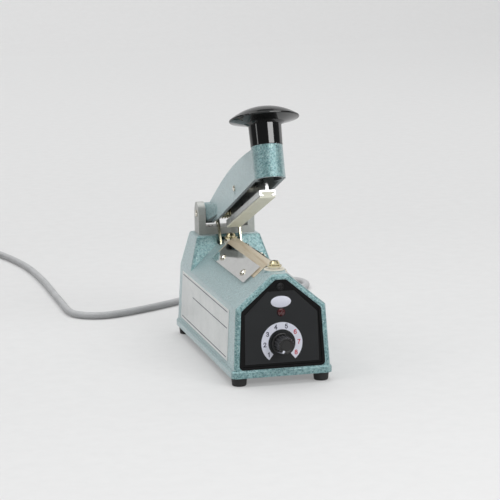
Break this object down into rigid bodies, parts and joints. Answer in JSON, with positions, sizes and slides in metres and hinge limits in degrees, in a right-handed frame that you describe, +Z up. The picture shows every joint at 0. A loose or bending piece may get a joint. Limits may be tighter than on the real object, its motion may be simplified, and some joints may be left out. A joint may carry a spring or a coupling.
{
  "type": "hand impulse sealer",
  "caption": "House-shaped cast bench sealer with a hinged arm and mushroom knob, a cloth-covered heater ridge, a front timer dial and a mains lead, for welding plastic bags.",
  "frame": {"origin": "on the floor under the middle of the sealer's own box, its mains lead left aside", "axes": "+X to the right seen from the front, +Y towards the hinge at the rear, +Z up"},
  "size_m": [0.3657, 0.6706, 0.2106],
  "materials": {
    "hammer_paint": "pale teal hammer paint on a casting",
    "panel_black": "black moulded panel with a fine grain",
    "label_black": "printed satin film",
    "black_rubber": "moulded rubber",
    "black_phenolic": "polished black phenolic",
    "timer_black": "moulded ABS",
    "black_steel": "black oxide",
    "red_lens": "clear red acrylic",
    "grey_casting": "grey paint on a casting",
    "zinc_sheet": "zinc-plated sheet",
    "bright_screw": "nickel-plated steel",
    "mirror_steel": "polished stainless sheet",
    "spring_steel": "drawn spring wire and strip",
    "bar_aluminium": "extruded, satin",
    "silicone": "cream silicone",
    "glass_cloth": "coated glass cloth",
    "white_insulator": "moulded insulator",
    "brass_turned": "turned brass",
    "element_alloy": "rolled resistance strip",
    "green_board": "glass-epoxy board",
    "blue_relay": "moulded case",
    "sleeve_plastic": "shrink sleeve",
    "core_steel": "stacked laminations",
    "copper_wire": "enamelled copper wire",
    "switch_case": "moulded switch case",
    "red_plunger": "moulded plunger",
    "lamp_holder": "moulded holder",
    "grey_pvc": "satin PVC"
  },
  "bodies": {
    "base": {"housing": "hammer_paint", "base_plate": "zinc_sheet", "rubber_feet": "black_rubber", "foot_screws": "bright_screw", "front_panel": "panel_black", "panel_label": "label_black", "panel_screw": "black_steel", "indicator_lens": "red_lens", "lamp_body": "lamp_holder", "timer_pot": "zinc_sheet", "pot_nut": "bright_screw", "timer_board": "green_board", "relay": "blue_relay", "capacitors": "sleeve_plastic", "transformer_core": "core_steel", "transformer_winding": "copper_wire", "transformer_strap": "zinc_sheet", "transformer_screws": "bright_screw", "microswitch_body": "switch_case", "switch_bracket": "zinc_sheet", "switch_screws": "bright_screw", "heater_bar": "bar_aluminium", "heater_screws": "bright_screw", "heating_element": "element_alloy", "ptfe_cloth": "glass_cloth", "clamp_plate_left": "mirror_steel", "clamp_plate_right": "mirror_steel", "clamp_screws": "bright_screw", "terminal_posts": "bright_screw", "terminal_insulators": "white_insulator", "terminal_screws": "bright_screw", "hinge_bracket": "grey_casting", "hinge_pin": "bright_screw", "bracket_screws": "bright_screw", "return_spring": "spring_steel", "strain_relief": "grey_pvc", "cord_lead": "grey_pvc", "cord_coil": "grey_pvc", "coil_tie": "black_rubber", "plug_body": "grey_pvc", "plug_blades": "brass_turned"},
    "arm": {"arm_casting": "hammer_paint", "handle_knob": "black_phenolic", "knob_stud": "bright_screw", "switch_fork": "spring_steel", "fork_screws": "bright_screw", "bar_pin": "bright_screw", "bar_spacers": "bright_screw"},
    "pressure_bar": {"pressure_bar": "bar_aluminium", "silicone_pad": "silicone"},
    "timer_knob": {"timer_knob": "timer_black", "pot_shaft": "bright_screw"},
    "switch_button": {"switch_button": "red_plunger"}
  },
  "joints": [
    {"name": "arm_lift", "type": "hinge", "parent": "base", "child": "arm", "pos_m": [0, 0.09012, 0.1052], "axis": [1, 0, 0], "range_deg": [0, 18.23], "stiffness_Nm_per_rad": 1, "springref_deg": -31.51, "deforming": ["return_spring"]},
    {"name": "bar_rock", "type": "hinge", "parent": "arm", "child": "pressure_bar", "pos_m": [0, 0.00006, 0.13849], "axis": [1, 0, 0], "range_deg": [0, 1.67]},
    {"name": "timer_turn", "type": "hinge", "parent": "base", "child": "timer_knob", "pos_m": [0, -0.09654, 0.03228], "axis": [0, 0.999, -0.0436], "range_deg": [0, 300]},
    {"name": "switch_press", "type": "slide", "parent": "base", "child": "switch_button", "axis": [0, 1, 0], "range_m": [0, 0.0012], "stiffness_N_per_m": 200, "springref_m": -0.0005}
  ],
  "couplings": [
    {"joint": "bar_rock", "follows": "arm_lift", "ratio": 0.09183}
  ]
}
